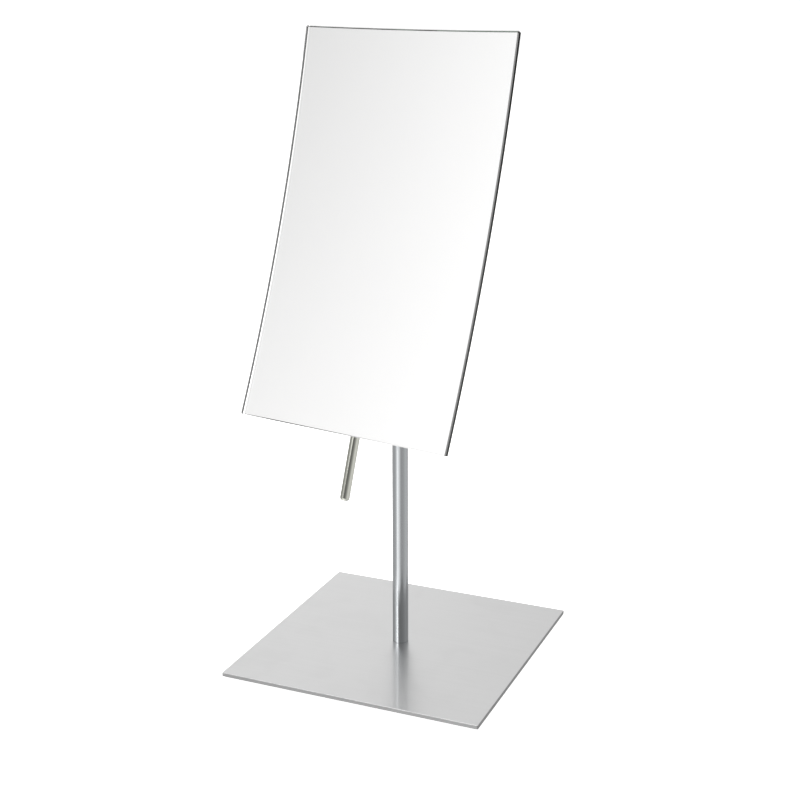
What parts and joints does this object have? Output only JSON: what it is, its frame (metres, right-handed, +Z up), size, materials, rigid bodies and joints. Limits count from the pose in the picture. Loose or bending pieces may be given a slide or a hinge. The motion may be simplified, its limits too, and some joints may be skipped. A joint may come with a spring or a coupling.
{
  "type": "countertop mirror",
  "caption": "Frameless dished rectangular mirror that tilts and swivels on a slim round post over a thin square steel base, with a rod handle hanging behind it.",
  "frame": {"origin": "on the surface that the object stands on, in the middle of the square base", "axes": "+Z up the post, -Y the side that the mirror faces (at rest the head is swivelled 10.4 degrees clockwise seen from above), +X completes the right-handed frame"},
  "size_m": [0.16, 0.16, 0.3684],
  "materials": {
    "brushed_steel": "fine straight brushed",
    "satin_steel": "satin",
    "polished_steel": "polished",
    "zinc_steel": "zinc plated",
    "mirror": "silvered glass with a polished edge",
    "nylon": "natural",
    "rubber": "matt",
    "foam_tape": "matt foam"
  },
  "bodies": {
    "stand": {"base_plate": "brushed_steel", "foot_front_left": "rubber", "foot_front_right": "rubber", "foot_rear_left": "rubber", "foot_rear_right": "rubber", "base_screw": "zinc_steel", "post_tube": "satin_steel", "post_insert": "zinc_steel", "swivel_bush": "nylon"},
    "neck": {"knuckle": "satin_steel", "swivel_washer": "zinc_steel", "swivel_nut": "zinc_steel"},
    "head": {"mirror_glass": "mirror", "tape_top": "foam_tape", "tape_bottom": "foam_tape", "tape_left": "foam_tape", "tape_right": "foam_tape", "back_plate": "brushed_steel", "bracket": "satin_steel", "bracket_screw_1": "zinc_steel", "bracket_screw_2": "zinc_steel", "bracket_screw_3": "zinc_steel", "handle_rod": "polished_steel", "friction_washer_left": "nylon", "friction_washer_right": "nylon", "hinge_bolt": "polished_steel", "hinge_spring": "zinc_steel", "hinge_nut": "polished_steel"}
  },
  "joints": [
    {"name": "head_swivel", "type": "hinge", "parent": "stand", "child": "neck", "pos_m": [0, 0, 0.2384], "axis": [0, 0, 1], "continuous": true},
    {"name": "mirror_tilt", "type": "hinge", "parent": "neck", "child": "head", "pos_m": [0, 0, 0.2524], "axis": [-0.9836, 0.1805, 0], "range_deg": [-18.1, 71.9]}
  ]
}
